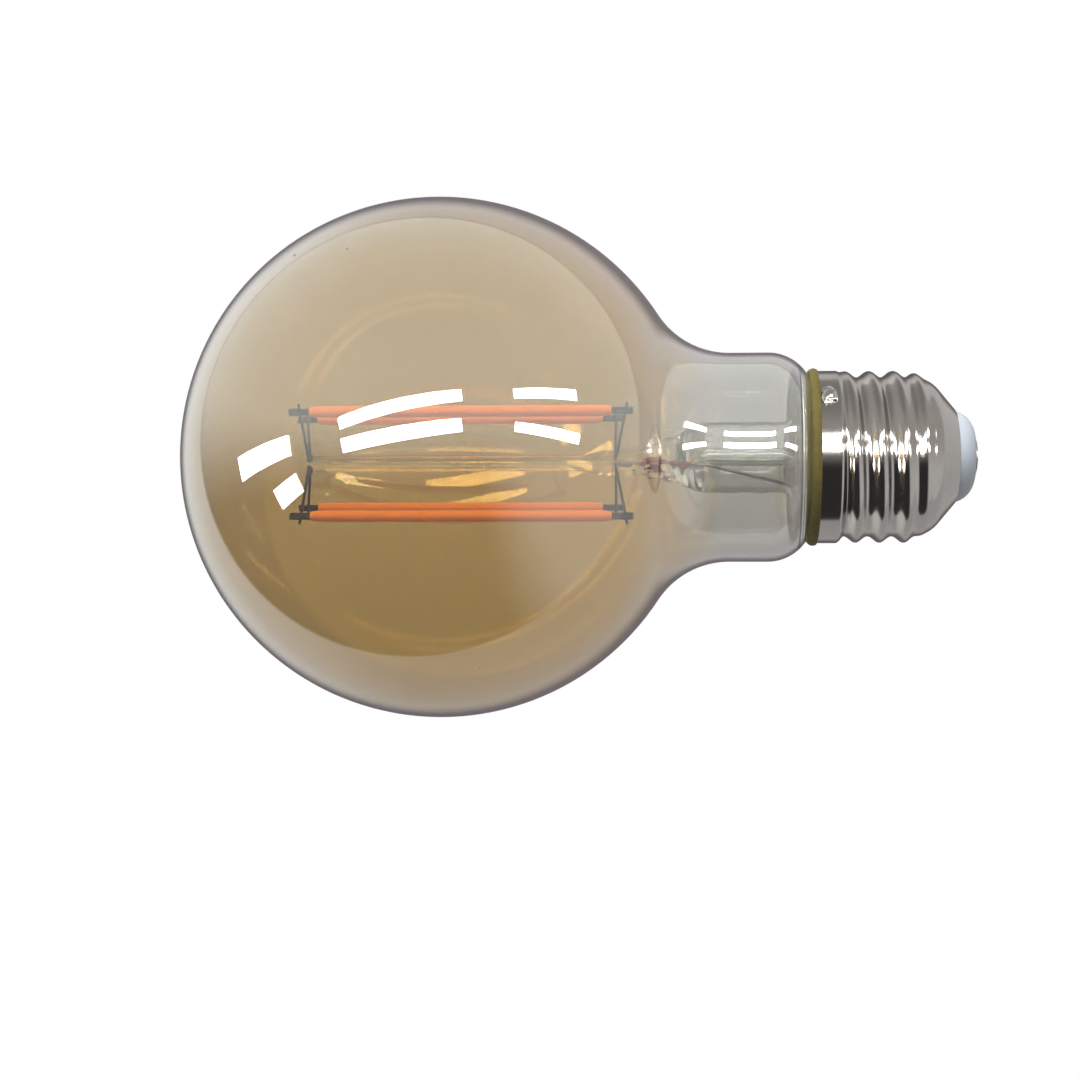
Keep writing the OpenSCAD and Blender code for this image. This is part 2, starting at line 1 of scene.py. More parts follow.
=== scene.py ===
"""Looks of a globe filament light bulb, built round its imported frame. Metres throughout.

+Z runs from the contact at the cap's end to the globe's crown. The camera looks along +Y with
the bulb lying across its view, crown to the left.
"""
import math

import bmesh
import bpy
from mathutils import Matrix, Vector, noise


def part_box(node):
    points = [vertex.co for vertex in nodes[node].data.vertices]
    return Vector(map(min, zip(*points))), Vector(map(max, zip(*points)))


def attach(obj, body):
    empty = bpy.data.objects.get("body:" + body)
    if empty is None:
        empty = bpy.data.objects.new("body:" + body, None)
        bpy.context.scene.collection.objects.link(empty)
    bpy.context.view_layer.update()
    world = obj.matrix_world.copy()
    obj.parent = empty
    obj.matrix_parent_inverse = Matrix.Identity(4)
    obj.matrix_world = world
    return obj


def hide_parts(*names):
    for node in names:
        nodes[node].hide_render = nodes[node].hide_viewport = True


MM = 0.001
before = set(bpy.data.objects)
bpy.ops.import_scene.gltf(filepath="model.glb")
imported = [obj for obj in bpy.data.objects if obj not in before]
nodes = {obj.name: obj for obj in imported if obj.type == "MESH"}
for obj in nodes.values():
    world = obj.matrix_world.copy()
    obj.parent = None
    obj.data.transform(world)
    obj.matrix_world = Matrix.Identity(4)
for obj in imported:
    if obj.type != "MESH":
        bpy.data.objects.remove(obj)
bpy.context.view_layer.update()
scene = bpy.context.scene


# ---- Helpers ----

def node(tree, kind, inputs=None, **settings):
    """Adds a node. An input given a socket is linked to it, and any other value is set."""
    made = tree.nodes.new(kind)
    for name, value in settings.items():
        setattr(made, name, value)
    for key, value in (inputs or {}).items():
        if isinstance(value, bpy.types.NodeSocket):
            tree.links.new(value, made.inputs[key])
        else:
            made.inputs[key].default_value = value
    return made


def maths(tree, operation, a, b=0.0, c=0.0):
    return node(tree, "ShaderNodeMath", {0: a, 1: b, 2: c}, operation=operation).outputs[0]


def fade(tree, value, start, end, low=0.0, high=1.0):
    """Smooth step of value, from low at start to high at end."""
    inputs = {0: value, 1: start, 2: end, 3: low, 4: high}
    return node(tree, "ShaderNodeMapRange", inputs, interpolation_type="SMOOTHSTEP").outputs[0]


def mixed(tree, factor, a, b, blend="MIX"):
    inputs = {0: factor, 6: a, 7: b}
    return node(tree, "ShaderNodeMix", inputs, data_type="RGBA", blend_type=blend).outputs[2]


def grey(value):
    return (value, value, value, 1.0)


def piece(name, mesh, material, replaced=()):
    """Makes an object of the bulb from a mesh in place: material, ride and slot."""
    obj = bpy.data.objects.new(name, mesh)
    scene.collection.objects.link(obj)
    mesh.materials.clear()
    mesh.materials.append(material)
    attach(obj, "root")
    if replaced:
        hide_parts(*replaced)
    return obj


def arc(centre, radius, start, end, steps):
    """Points of (radius, height) along an arc, angles in degrees from the outward direction."""
    points = []
    for step in range(steps + 1):
        angle = math.radians(start + (end - start) * step / steps)
        points.append((centre[0] + radius * math.cos(angle), centre[1] + radius * math.sin(angle)))
    return points


def straight(start, end, steps):
    """Points from start to end, without the first one."""
    return [tuple(start[i] + (end[i] - start[i]) * step / steps for i in (0, 1))
            for step in range(1, steps + 1)]


def lathe(name, outline, sides, shape=None, centre=(0.0, 0.0), crease=35):
    """Turned mesh from (radius, height) points: a closed loop, or a line from pole to pole.

    shape(radius, height, angle) may return a changed radius and height.
    """
    mesh = bpy.data.meshes.new(name)
    made = bmesh.new()
    rings = []
    for radius, height in outline:
        if radius < 1e-7:
            rings.append([made.verts.new((centre[0], centre[1], height))])
            continue
        ring = []
        for side in range(sides):
            angle = 2 * math.pi * side / sides
            r, h = shape(radius, height, angle) if shape else (radius, height)
            ring.append(made.verts.new((centre[0] + r * math.cos(angle),
                                        centre[1] + r * math.sin(angle), h)))
        rings.append(ring)
    pairs = list(zip(rings, rings[1:]))
    if outline[0][0] > 1e-7:
        pairs.append((rings[-1], rings[0]))
    for one, two in pairs:
        for side in range(sides):
            after = (side + 1) % sides
            corners = [one[side % len(one)], one[after % len(one)],
                       two[after % len(two)], two[side % len(two)]]
            made.faces.new(list(dict.fromkeys(corners)))
    return finished(mesh, made, crease)


def finished(mesh, made, crease=35):
    """Turns a closed bmesh's faces outwards and gives it smooth shading with creases."""
    bmesh.ops.recalc_face_normals(made, faces=made.faces)
    if made.calc_volume(signed=True) < 0:
        bmesh.ops.reverse_faces(made, faces=made.faces)
    made.to_mesh(mesh)
    made.free()
    smooth(mesh, crease)
    return mesh


def smooth(mesh, crease=35):
    mesh.polygons.foreach_set("use_smooth", [True] * len(mesh.polygons))
    mesh.set_sharp_from_angle(angle=math.radians(crease))
    mesh.update()


def point(tree, x=0.0, y=0.0, z=0.0):
    return node(tree, "ShaderNodeCombineXYZ", {0: x, 1: y, 2: z}).outputs[0]


def new_tree(name, numbers, material):
    """Geometry Nodes tree with a geometry output, named numbers to set, and a material."""
    tree = bpy.data.node_groups.new(name, "GeometryNodeTree")
    tree.interface.new_socket("Geometry", in_out="OUTPUT", socket_type="NodeSocketGeometry")
    for label in numbers:
        tree.interface.new_socket(label, in_out="INPUT", socket_type="NodeSocketFloat")
    tree.interface.new_socket(material, in_out="INPUT", socket_type="NodeSocketMaterial")
    return tree, node(tree, "NodeGroupInput").outputs


def close_tree(tree, geometry, material):
    """Ends a tree in Realize Instances and Set Material."""
    real = node(tree, "GeometryNodeRealizeInstances", {0: geometry}).outputs[0]
    coloured = node(tree, "GeometryNodeSetMaterial", {"Geometry": real, "Material": material})
    node(tree, "NodeGroupOutput", {0: coloured.outputs[0]})


def grown(name, tree, values, wall=0.0):
    """Runs a tree with its inputs set, thickens it inwards, and returns the plain mesh."""
    holder = bpy.data.objects.new(name, bpy.data.meshes.new(name))
    modifier = holder.modifiers.new("shape", "NODES")
    modifier.node_group = tree
    for item in tree.interface.items_tree:
        if item.in_out == "INPUT":
            modifier[item.identifier] = values[item.name]
    if wall:
        # The sheet's normals point to the axis, so this keeps its outer face in place
        sheet = holder.modifiers.new("wall", "SOLIDIFY")
        sheet.thickness = wall
        sheet.offset = 1
    scene.collection.objects.link(holder)
    bpy.context.view_layer.update()
    made = holder.evaluated_get(bpy.context.evaluated_depsgraph_get())
    mesh = bpy.data.meshes.new_from_object(made)
    mesh.name = name
    holder.modifiers.clear()
    bpy.data.objects.remove(holder)
    return mesh


# ---- Shader node groups shared by the materials ----

def shader_group(name, inputs, outputs):
    tree = bpy.data.node_groups.new(name, "ShaderNodeTree")
    for label, value in inputs.items():
        kind = "NodeSocketColor" if isinstance(value, tuple) else "NodeSocketFloat"
        socket = tree.interface.new_socket(label, in_out="INPUT", socket_type=kind)
        socket.default_value = value
    for label, kind in outputs.items():
        tree.interface.new_socket(label, in_out="OUTPUT", socket_type="NodeSocket" + kind)
    coords = node(tree, "ShaderNodeTexCoord").outputs["Object"]
    return tree, node(tree, "NodeGroupInput").outputs, coords


def cloud_noise(tree, coords, scale, detail, roughness=0.5):
    """Value of a noise texture, from 0 to 1."""
    inputs = {"Vector": coords, "Scale": scale, "Detail": detail, "Roughness": roughness}
    return node(tree, "ShaderNodeTexNoise", inputs).outputs[0]


def build_grain():
    """Fine grain of a surface: its colour varied round a middle, and a height."""
    tree, given, coords = shader_group(
        "fine_grain", {"Colour": grey(0.5), "Variation": 0.1, "Scale": 900.0},
        {"Colour": "Color", "Height": "Float"})
    broad_scale = maths(tree, "MULTIPLY", given["Scale"], 0.12)
    fine = cloud_noise(tree, coords, given["Scale"], 4.0)
    broad = cloud_noise(tree, coords, broad_scale, 3.0)
    both = maths(tree, "ADD", fine, broad)
    swing = maths(tree, "MULTIPLY", maths(tree, "SUBTRACT", both, 1.0), given["Variation"])
    level = maths(tree, "ADD", swing, 1.0)
    shade = node(tree, "ShaderNodeCombineColor", {0: level, 1: level, 2: level}).outputs[0]
    colour = mixed(tree, 1.0, given["Colour"], shade, "MULTIPLY")
    node(tree, "NodeGroupOutput", {0: colour, 1: fine})
    return tree


def build_scratches():
    """Rubbed lines round the axis and small pits: a mask from 0 to 1 and a height."""
    tree, given, coords = shader_group(
        "fine_scratches", {"Scale": 400.0, "Amount": 0.5}, {"Mask": "Float", "Height": "Float"})
    mapping = node(tree, "ShaderNodeMapping", {"Vector": coords, "Scale": (0.12, 0.12, 1.0)})
    lines = cloud_noise(tree, mapping.outputs[0], given["Scale"], 8.0, 0.7)
    pit_scale = maths(tree, "MULTIPLY", given["Scale"], 3.0)
    pits = cloud_noise(tree, coords, pit_scale, 2.0)
    worn = maths(tree, "MAXIMUM", fade(tree, lines, 0.52, 0.68), fade(tree, pits, 0.62, 0.75))
    mask = maths(tree, "MULTIPLY", worn, given["Amount"])
    node(tree, "NodeGroupOutput", {0: mask, 1: maths(tree, "MULTIPLY", mask, -1.0)})
    return tree


def build_dust():
    """Scattered specks of dust: a mask that is 1 on a speck."""
    tree, given, coords = shader_group(
        "dust_specks", {"Scale": 160.0, "Share": 0.06, "Size": 0.12}, {"Mask": "Float"})
    cells = node(tree, "ShaderNodeTexVoronoi", {"Vector": coords, "Scale": given["Scale"]})
    draw = node(tree, "ShaderNodeSeparateColor", {0: cells.outputs["Color"]}).outputs[0]
    chosen = maths(tree, "LESS_THAN", draw, given["Share"])
    near = maths(tree, "LESS_THAN", cells.outputs["Distance"], given["Size"])
    node(tree, "NodeGroupOutput", {0: maths(tree, "MULTIPLY", chosen, near)})
    return tree


GRAIN = build_grain()
SCRATCHES = build_scratches()
DUST = build_dust()


def placed(tree, group, values):
    """Puts a shared group into a material with its own values."""
    made = tree.nodes.new("ShaderNodeGroup")
    made.node_tree = group
    for name, value in values.items():
        if isinstance(value, bpy.types.NodeSocket):
            tree.links.new(value, made.inputs[name])
        else:
            made.inputs[name].default_value = value
    return made.outputs


def new_material(name):
    """Material with an empty Principled shader: its tree and the shader."""
    made = bpy.data.materials.new(name)
    made.use_nodes = True
    return made, made.node_tree, made.node_tree.nodes["Principled BSDF"]


def set_inputs(shader, values):
    """Sets a shader's own sockets. A value that is a socket is linked."""
    tree = shader.id_data
    for name, value in values.items():
        if isinstance(value, bpy.types.NodeSocket):
            tree.links.new(value, shader.inputs[name])
        else:
            shader.inputs[name].default_value = value


def bumped(tree, height, strength, distance):
    inputs = {"Height": height, "Strength": strength, "Distance": distance}
    return node(tree, "ShaderNodeBump", inputs).outputs[0]


def spaced(constants):
    """Socket names from the names of keyword arguments."""
    return {key.replace("_", " "): value for key, value in constants.items()}


def grained(name, colour, variation, scale, roughness, bump=0.1, relief=2e-5, **constants):
    """Plain finish with grain in its colour, roughness and surface."""
    made, tree, shader = new_material(name)
    grain = placed(tree, GRAIN, {"Colour": (*colour, 1.0), "Variation": variation, "Scale": scale})
    set_inputs(shader, {
        "Base Color": grain["Colour"],
        "Roughness": fade(tree, grain["Height"], 0.3, 0.7, roughness * 0.85, roughness * 1.15),
        "Normal": bumped(tree, grain["Height"], bump, relief)})
    set_inputs(shader, spaced(constants))
    return made


def scratched(name, colour, roughness, amount=0.5, scale=400.0, worn=0.8, **constants):
    """Metal with rubbed lines that are a little darker and rougher than the rest."""
    made, tree, shader = new_material(name)
    marks = placed(tree, SCRATCHES, {"Scale": scale, "Amount": amount})
    grain = placed(tree, GRAIN, {"Colour": (*colour, 1.0), "Variation": 0.12, "Scale": scale * 2})
    dull = tuple(channel * worn for channel in colour) + (1.0,)
    set_inputs(shader, {
        "Base Color": mixed(tree, marks["Mask"], grain["Colour"], dull),
        "Metallic": 1.0,
        "Roughness": fade(tree, marks["Mask"], 0.0, 1.0, roughness, roughness + 0.25),
        "Normal": bumped(tree, marks["Height"], 0.15, 1e-5)})
    set_inputs(shader, spaced(constants))
    return made


# ---- Glass ----

# Colours of the wall's inner face at the globe and at the neck, and of its outer face, with a painted
# shade that darkens the outer face at the globe's outline
AMBER = (0.44, 0.27, 0.065, 1.0)
CLEAR = (0.46, 0.44, 0.40, 1.0)
OUTER, EDGE_ON_PAINTED_SHADE = (0.98, 0.98, 0.98, 1.0), (0.36, 0.33, 0.32, 1.0)
# The amber fades out between these heights
TINT_TOP_Z = 0.055
TINT_END_Z = 0.039
# The coated glass mirrors more than bare glass does
COATED_IOR = 1.9
SPECK = (0.12, 0.11, 0.09, 1.0)


def tinted_glass():
    """Amber glass that fades to clear towards the neck, with a haze and dust on it."""
    made, tree, shader = new_material("amber_glass")
    coords = node(tree, "ShaderNodeTexCoord").outputs["Object"]
    height = node(tree, "ShaderNodeSeparateXYZ", {0: coords}).outputs[2]
    cloud = cloud_noise(tree, coords, 45.0, 3.0)
    uneven = maths(tree, "MULTIPLY_ADD", maths(tree, "SUBTRACT", cloud, 0.5), 0.012, height)
    tint = mixed(tree, fade(tree, uneven, TINT_END_Z, TINT_TOP_Z), CLEAR, AMBER)
    inner = node(tree, "ShaderNodeAttribute", attribute_name="inner_face").outputs["Fac"]
    # Painted shade: the outer face's colour is darkened where the wall is seen edge on at the globe's
    # outline
    facing = node(tree, "ShaderNodeLayerWeight", {"Blend": 0.5}).outputs["Facing"]
    outer = mixed(tree, fade(tree, facing, 0.68, 0.90), OUTER, EDGE_ON_PAINTED_SHADE)
    tint = mixed(tree, inner, outer, tint)
    grain = placed(tree, GRAIN, {"Colour": tint, "Variation": 0.04, "Scale": 2600.0})
    dust = placed(tree, DUST, {"Scale": 170.0, "Share": 0.05, "Size": 0.05})
    set_inputs(shader, {
        "Base Color": mixed(tree, dust["Mask"], grain["Colour"], SPECK),
        "Roughness": fade(tree, dust["Mask"], 0.0, 1.0, 0.0, 0.4),
        "IOR": COATED_IOR,
        "Transmission Weight": 1.0,
        "Sheen Weight": 0.07,
        "Sheen Roughness": 0.9,
        "Sheen Tint": (1.0, 0.97, 1.0, 1.0)})
    return made


def clear_glass(name, colour, ior=1.5):
    """Bare glass with the faint waves of worked tube."""
    made, tree, shader = new_material(name)
    coords = node(tree, "ShaderNodeTexCoord").outputs["Object"]
    striae = cloud_noise(tree, coords, 320.0, 2.0)
    grain = placed(tree, GRAIN, {"Colour": (*colour, 1.0), "Variation": 0.08, "Scale": 1500.0})
    set_inputs(shader, {
        "Base Color": grain["Colour"],
        "Roughness": fade(tree, grain["Height"], 0.4, 0.7, 0.0, 0.02),
        "IOR": ior,
        "Transmission Weight": 1.0,
        "Normal": bumped(tree, striae, 0.08, 1e-4)})
    return made


MATERIALS = {
    "amber_glass": tinted_glass(),
    "stem_glass": clear_glass("stem_glass", (0.93, 0.94, 0.92)),
    "nickel_wire": scratched("nickel_wire", (0.34, 0.31, 0.29), 0.3, scale=1500.0),
    "copper_lead": scratched("copper_lead", (0.30, 0.06, 0.035), 0.35, scale=1500.0),
    "dark_wire": scratched("dark_wire", (0.045, 0.04, 0.042), 0.38, scale=1500.0),
    "phosphor": grained("phosphor", (1.0, 0.32, 0.035), 0.12, 1600.0, 0.42, 0.25, 3e-5,
                        Subsurface_Weight=0.25, Subsurface_Radius=(0.6, 0.25, 0.1),
                        Subsurface_Scale=0.0006, Coat_Weight=0.25, Coat_Roughness=0.2),
    "ceramic_strip": grained("ceramic_strip", (0.82, 0.81, 0.77), 0.08, 2500.0, 0.5),
    "chip": grained("chip", (0.25, 0.33, 0.62), 0.12, 3000.0, 0.2, Coat_Weight=0.5),
    "cement": grained("cement", (0.15, 0.125, 0.035), 0.9, 700.0, 0.75, 0.8, 2.5e-4),
    "plated_cap": scratched("plated_cap", (0.50, 0.475, 0.45), 0.15, 0.35, 420.0),
    "white_plastic": grained("white_plastic", (0.60, 0.66, 0.72), 0.05, 1200.0, 0.42, 0.12, 3e-5,
                             Subsurface_Weight=0.1, Subsurface_Radius=(1.0, 1.0, 1.0),
                             Subsurface_Scale=0.0005),
    "contact_metal": scratched("contact_metal", (0.66, 0.61, 0.50), 0.24, 0.7, 600.0),
    "solder": scratched("solder", (0.66, 0.65, 0.63), 0.16, 0.6, 900.0),
    "sleeve_film": grained("sleeve_film", (0.80, 0.76, 0.62), 0.06, 900.0, 0.45),
    "green_board": grained("green_board", (0.03, 0.20, 0.09), 0.15, 1400.0, 0.4, Coat_Weight=0.4),
    "blue_board": grained("blue_board", (0.03, 0.09, 0.24), 0.15, 1400.0, 0.4, Coat_Weight=0.4),
    "black_resin": grained("black_resin", (0.02, 0.02, 0.022), 0.3, 2200.0, 0.5),
    "capacitor_sleeve": grained("capacitor_sleeve", (0.02, 0.025, 0.06), 0.2, 900.0, 0.3,
                                Coat_Weight=0.3),
    "ferrite": grained("ferrite", (0.07, 0.065, 0.06), 0.35, 1800.0, 0.65),
    "shield_metal": scratched("shield_metal", (0.6, 0.6, 0.58), 0.3, 0.5, 700.0),
    "resistor_body": grained("resistor_body", (0.30, 0.50, 0.46), 0.12, 1600.0, 0.4, Coat_Weight=0.3),
    "red_insulation": grained("red_insulation", (0.45, 0.03, 0.02), 0.12, 1800.0, 0.4),
    "blue_insulation": grained("blue_insulation", (0.03, 0.07, 0.34), 0.12, 1800.0, 0.4),
}

# Every frame node takes its slot's finish, and some are replaced below
for part in nodes.values():
    for held in part.material_slots:
        held.material = MATERIALS[held.material.name.split(".")[0]]

# ---- Sizes: the ones that come from the frame, and the globe's outline ----

globe_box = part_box("glass_envelope")
cap_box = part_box("cap_shell")
globe_r = globe_box[1].x
globe_z = globe_box[1].z - globe_r
tail_z = globe_box[0].z
rim_z = cap_box[1].z
cap_r = cap_box[1].x
neck_r = 16 * MM
neck_l = 5.8 * MM
sweep_r = 13 * MM
shoulder_r = 7 * MM
turn_r = 2 * MM
glass_t = 0.7 * MM
tail_r = cap_r - 0.95 * MM
sweep_x = neck_r + sweep_r
shoulder_x = neck_r - shoulder_r
turn_x = tail_r + turn_r
shoulder_z = rim_z + math.sqrt((shoulder_r + turn_r) ** 2 - (turn_x - shoulder_x) ** 2)
sweep_z = shoulder_z + neck_l


def envelope_line(inset):
    """Outline of the globe from its crown to its tail, set in from the outer face."""
    globe_turn = math.degrees(math.atan2(sweep_z - globe_z, sweep_x))
    neck_turn = math.degrees(math.atan2(rim_z - shoulder_z, turn_x - shoulder_x))
    line = arc((0, globe_z), globe_r - inset, 90, globe_turn, 96)
    line += arc((sweep_x, sweep_z), sweep_r + inset, globe_turn + 180, 180, 18)[1:]
    line += straight((neck_r - inset, sweep_z), (neck_r - inset, shoulder_z), 5)
    line += arc((shoulder_x, shoulder_z), shoulder_r - inset, 0, neck_turn, 14)[1:]
    line += arc((turn_x, rim_z), turn_r + inset, neck_turn + 180, 180, 6)[1:]
    line += straight((tail_r - inset, rim_z), (tail_r - inset, tail_z), 3)
    line[0] = (0.0, line[0][1])
    return line


GLOBE_SIDES = 200
outer_line = envelope_line(0)
inner_line = envelope_line(glass_t)[::-1]
globe_mesh = lathe("globe", outer_line + inner_line, GLOBE_SIDES)

# The inner face's points come last, and they end in the one at the inner crown
inner_points = GLOBE_SIDES * (len(inner_line) - 1) + 1
outer_points = len(globe_mesh.vertices) - inner_points
mark = globe_mesh.attributes.new("inner_face", "FLOAT", "POINT")
mark.data.foreach_set("value", [0.0] * outer_points + [1.0] * inner_points)
globe = piece("globe", globe_mesh, MATERIALS["amber_glass"], ["glass_envelope"])

# Glass that casts no shadow lets the lamps reach what it holds
globe.visible_shadow = False

# ---- Stem ----

tube_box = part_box("flare_tube")
seal_z = tube_box[0].z
tube_top_z = tube_box[1].z
disc_r = tube_box[1].x
tube_r = 5.4 * MM
tube_t = 0.8 * MM
flare_r = 2 * MM


def tube_wander(radius, height, angle):
    """Soft waves that the burner leaves along the tube, but not on its flare."""
    if radius >= 6.5 * MM:
        return radius, height
    along = (height - seal_z) / (tube_top_z - seal_z)
    wave = math.sin(along * 19 + 0.6) * min(1.0, 4 * along * (1 - along))
    return radius * (1 + 0.012 * wave), height


def stem_piece(name, mesh, replaced):
    """Piece of the stem's bare glass."""
    obj = piece(name, mesh, MATERIALS["stem_glass"], [replaced])
    obj.visible_shadow = False


bore_r = tube_r - tube_t
bend_z = seal_z + tube_t + flare_r
flare_outer = arc((tube_r + flare_r, bend_z), flare_r, 270, 180, 12)
flare_inner = arc((tube_r + flare_r, bend_z), flare_r + tube_t, 270, 180, 12)
tube_line = [(disc_r, seal_z + tube_t)] + flare_outer
tube_line += straight((tube_r, bend_z), (tube_r, tube_top_z), 40)
tube_line += [(bore_r, tube_top_z)]
tube_line += straight((bore_r, tube_top_z), (bore_r, bend_z), 40)
tube_line += flare_inner[::-1][1:] + [(disc_r, seal_z)]
stem_piece("flare_tube_glass", lathe("flare_tube_glass", tube_line, 96, tube_wander), "flare_tube")

exhaust_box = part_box("exhaust_tube")
exhaust_r = exhaust_box[1].x
exhaust_bore_r = exhaust_r - 0.5 * MM
exhaust_low, exhaust_high = exhaust_box[0].z, exhaust_box[1].z
tip_z = exhaust_low + exhaust_r
exhaust_line = [(0.0, exhaust_low)] + arc((0, tip_z), exhaust_r, -90, 0, 10)[1:]
exhaust_line += straight((exhaust_r, tip_z), (exhaust_r, exhaust_high), 30)
exhaust_line += [(exhaust_bore_r, exhaust_high)]
exhaust_line += straight((exhaust_bore_r, exhaust_high), (exhaust_bore_r, tip_z), 30)
exhaust_line += [(0.0, tip_z)]
stem_piece("exhaust_tube_glass", lathe("exhaust_tube_glass", exhaust_line, 40), "exhaust_tube")

press_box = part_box("stem_press")
press_low, press_high = press_box[0].z, press_box[1].z
rod_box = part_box("centre_rod")
cage_x = (rod_box[0].x + rod_box[1].x) / 2


def eased(share):
    """Smooth step of a share that is held between 0 and 1."""
    held = min(1.0, max(0.0, share))
    return held * held * (3 - 2 * held)


def pinched_press():
    """Glass pinched flat round the leads: rings of ovals with crumples where the jaws bit."""
    rings, sides = 72, 64
    foot_r = 5.3
    waist = press_low + 0.42 * (press_high - press_low)
    stalk_z = waist + 0.55 * (press_high - waist)
    made = bmesh.new()
    loops = []
    for ring in range(rings + 1):
        along = ring / rings
        z = press_low + (press_high - press_low) * along
        to_waist = eased((z - press_low) / (waist - press_low))
        to_stalk = eased((z - waist) / (stalk_z - waist))
        half_x = (foot_r - 1.9 * to_waist - 1.3 * to_stalk) * MM
        half_y = (foot_r - 2.9 * to_waist - 0.2 * to_stalk) * MM
        shift = cage_x * along
        rough = 0.55 * math.sin(math.pi * min(1, max(0, (along - 0.12) / 0.75))) * MM
        loop = []
        for side in range(sides):
            angle = 2 * math.pi * side / sides
            way = Vector((math.cos(angle), math.sin(angle), 0))
            crumple = noise.noise(Vector((way.x * 1.3, way.y * 1.3, z / MM * 0.55)) * 1.35)
            crumple += 0.5 * noise.noise(Vector((way.x * 2.9, way.y * 2.9, z / MM * 1.1 + 7)))
            x = way.x * (half_x + rough * crumple) + shift
            y = way.y * (half_y + rough * crumple)
            loop.append(made.verts.new((x, y, z)))
        loops.append(loop)
    for one, two in zip(loops, loops[1:]):
        for side in range(sides):
            after = (side + 1) % sides
            made.faces.new((one[side], one[after], two[after], two[side]))
    made.faces.new(loops[0][::-1])
    made.faces.new(loops[-1])
    return finished(bpy.data.meshes.new("pinched_press"), made, 60)


stem_piece("pinched_press", pinched_press(), "stem_press")

hub_z = rod_box[0].z
hub_t = 1.3 * MM
hub_r = 2 * MM
rod_r = 1.25 * MM
bead_r = 1.5 * MM
bead_z = rod_box[1].z - bead_r
bell_l = 5.5 * MM
bell_steps = 14
rod_line = [(0.0, hub_z), (hub_r * 0.9, hub_z), (hub_r, hub_z + 0.2 * MM), (hub_r, hub_z + 1.1 * MM)]
for step in range(1, bell_steps + 1):
    along = step / bell_steps
    bell_r = rod_r + (hub_r - rod_r) * (1 - along) ** 2.6
    rod_line.append((bell_r, hub_z + hub_t + bell_l * along))
rod_top = bead_z - math.sqrt(bead_r ** 2 - rod_r ** 2)
rod_line += straight(rod_line[-1], (rod_r, rod_top), 20)
bead_turn = math.degrees(math.atan2(rod_top - bead_z, rod_r))
rod_line += arc((0, bead_z), bead_r, bead_turn, 90, 16)[1:]
rod_line[-1] = (0.0, rod_line[-1][1])
rod_mesh = lathe("centre_rod_glass", rod_line, 48, None, (cage_x, 0))
stem_piece("centre_rod_glass", rod_mesh, "centre_rod")


# ---- Filaments ----

def build_coats():
    """Silicone coats: a waisted bar with rounded ends, set at each filament's place."""
    tree, given = new_tree("filament_coats", (
        "Length", "Radius", "End radius", "Taper", "Half gap front", "Half gap back", "Half depth",
        "Centre X", "Height front", "Height back"), "Coat")
    half = maths(tree, "MULTIPLY", given["Length"], 0.5)
    ends = {"Start": point(tree, z=maths(tree, "MULTIPLY", half, -1.0)), "End": point(tree, z=half)}
    line = node(tree, "GeometryNodeCurvePrimitiveLine", ends).outputs[0]
    line = node(tree, "GeometryNodeResampleCurve", {"Curve": line, "Count": 140}).outputs[0]
    place = node(tree, "GeometryNodeInputPosition").outputs[0]
    z = node(tree, "ShaderNodeSeparateXYZ", {0: place}).outputs[2]
    from_end = maths(tree, "SUBTRACT", half, maths(tree, "ABSOLUTE", z))
    share = maths(tree, "MINIMUM", maths(tree, "DIVIDE", from_end, given["Taper"]), 1.0)
    bend = maths(tree, "POWER", maths(tree, "SUBTRACT", 1.0, share), 2.4)
    round_up = maths(tree, "SQRT", maths(tree, "SUBTRACT", 1.0, bend))
    swell = maths(tree, "MULTIPLY_ADD", cloud_noise(tree, place, 210.0, 1.0), 0.09, 0.91)
    spread = maths(tree, "SUBTRACT", given["Radius"], given["End radius"])
    even = maths(tree, "MULTIPLY_ADD", round_up, spread, given["End radius"])
    radius = maths(tree, "MULTIPLY", even, swell)
    circle = {"Resolution": 32, "Radius": 1.0}
    ring = node(tree, "GeometryNodeCurvePrimitiveCircle", circle).outputs[0]
    tube_inputs = {"Curve": line, "Profile Curve": ring, "Scale": radius, "Fill Caps": True}
    swept = node(tree, "GeometryNodeCurveToMesh", tube_inputs)
    joined = node(tree, "GeometryNodeJoinGeometry")
    for side in (1, -1):
        for pair, sign in (("front", -1), ("back", 1)):
            half_gap = given["Half gap " + pair]
            gap = maths(tree, "MULTIPLY_ADD", half_gap, float(side), given["Centre X"])
            depth = maths(tree, "MULTIPLY", given["Half depth"], float(sign))
            at = point(tree, gap, depth, given["Height " + pair])
            move = {"Geometry": swept.outputs[0], "Translation": at}
            moved = node(tree, "GeometryNodeTransform", move)
            tree.links.new(moved.outputs[0], joined.inputs[0])
    close_tree(tree, joined.outputs[0], given["Coat"])
    return tree


coat_nodes = [f"filament_coat_{number}" for number in (1, 2, 3, 4)]
coat_boxes = [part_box(name) for name in coat_nodes]
coat_size = coat_boxes[0][1] - coat_boxes[0][0]
coat_middles = [(low + high) / 2 for low, high in coat_boxes]
coat_mesh = grown("filament_coats", build_coats(), {
    "Length": coat_size.z,
    "Radius": coat_size.x / 2,
    "End radius": 0.62 * MM,
    "Taper": 2.4 * MM,
    "Half gap front": (coat_middles[0].x - coat_middles[2].x) / 2,
    "Half gap back": (coat_middles[1].x - coat_middles[3].x) / 2,
    "Half depth": (coat_middles[1].y - coat_middles[0].y) / 2,
    "Centre X": cage_x,
    "Height front": coat_middles[0].z,
    "Height back": coat_middles[1].z,
    "Coat": MATERIALS["phosphor"]})
smooth(coat_mesh, 50)
piece("filament_coats", coat_mesh, MATERIALS["phosphor"], coat_nodes)


# ---- Cap ----

